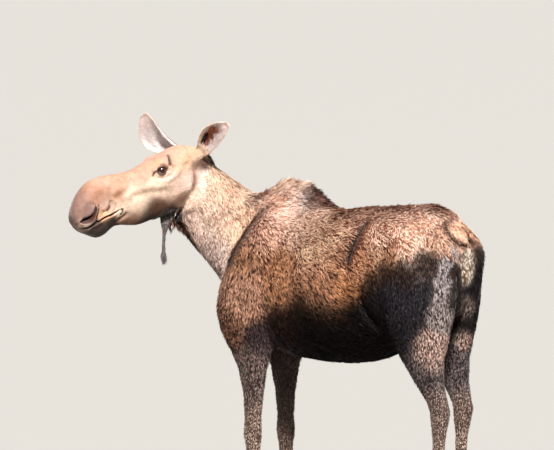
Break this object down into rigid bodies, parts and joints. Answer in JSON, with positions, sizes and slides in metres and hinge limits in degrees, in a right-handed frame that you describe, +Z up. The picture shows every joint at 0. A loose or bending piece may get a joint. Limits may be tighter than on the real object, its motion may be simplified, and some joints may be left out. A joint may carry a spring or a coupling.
{
  "type": "cow moose",
  "caption": "Life-size standing cow moose in a coarse summer coat, head raised and turned to the left, with a thin throat bell.",
  "frame": {"origin": "on the floor, below the middle of the animal's bounding box", "axes": "+Z up, the animal faces -Y, its left side is +X"},
  "size_m": [1.032, 1.927, 2.109],
  "materials": {
    "coat_body": "coarse reddish brown summer hair with pale tips, near black low on the flanks",
    "coat_neck": "short pale tan hair over pinkish grey skin",
    "coat_face": "very short flat tan hair, dark grey brown on the muzzle",
    "coat_legs": "short smooth greyish tan hair",
    "coat_bell": "long damp dark grey hair",
    "coat_ears": "short dark grey brown hair, pale and woolly inside",
    "eyes": "wet dark brown eyeball",
    "hooves": "dark worn horn"
  },
  "bodies": {
    "root": {"trunk": "coat_body", "neck": "coat_neck", "head": "coat_face", "tail": "coat_body", "bell": "coat_bell", "ear_left": "coat_ears", "ear_right": "coat_ears", "eye_left": "eyes", "eye_right": "eyes", "foreleg_left_upper": "coat_body", "foreleg_left_lower": "coat_legs", "foreleg_left_toe_outer": "hooves", "foreleg_left_dewclaw_outer": "hooves", "foreleg_left_toe_inner": "hooves", "foreleg_left_dewclaw_inner": "hooves", "foreleg_right_upper": "coat_body", "foreleg_right_lower": "coat_legs", "foreleg_right_toe_outer": "hooves", "foreleg_right_dewclaw_outer": "hooves", "foreleg_right_toe_inner": "hooves", "foreleg_right_dewclaw_inner": "hooves", "hindleg_left_upper": "coat_body", "hindleg_left_lower": "coat_legs", "hindleg_left_toe_outer": "hooves", "hindleg_left_dewclaw_outer": "hooves", "hindleg_left_toe_inner": "hooves", "hindleg_left_dewclaw_inner": "hooves", "hindleg_right_upper": "coat_body", "hindleg_right_lower": "coat_legs", "hindleg_right_toe_outer": "hooves", "hindleg_right_dewclaw_outer": "hooves", "hindleg_right_toe_inner": "hooves", "hindleg_right_dewclaw_inner": "hooves"}
  },
  "joints": []
}
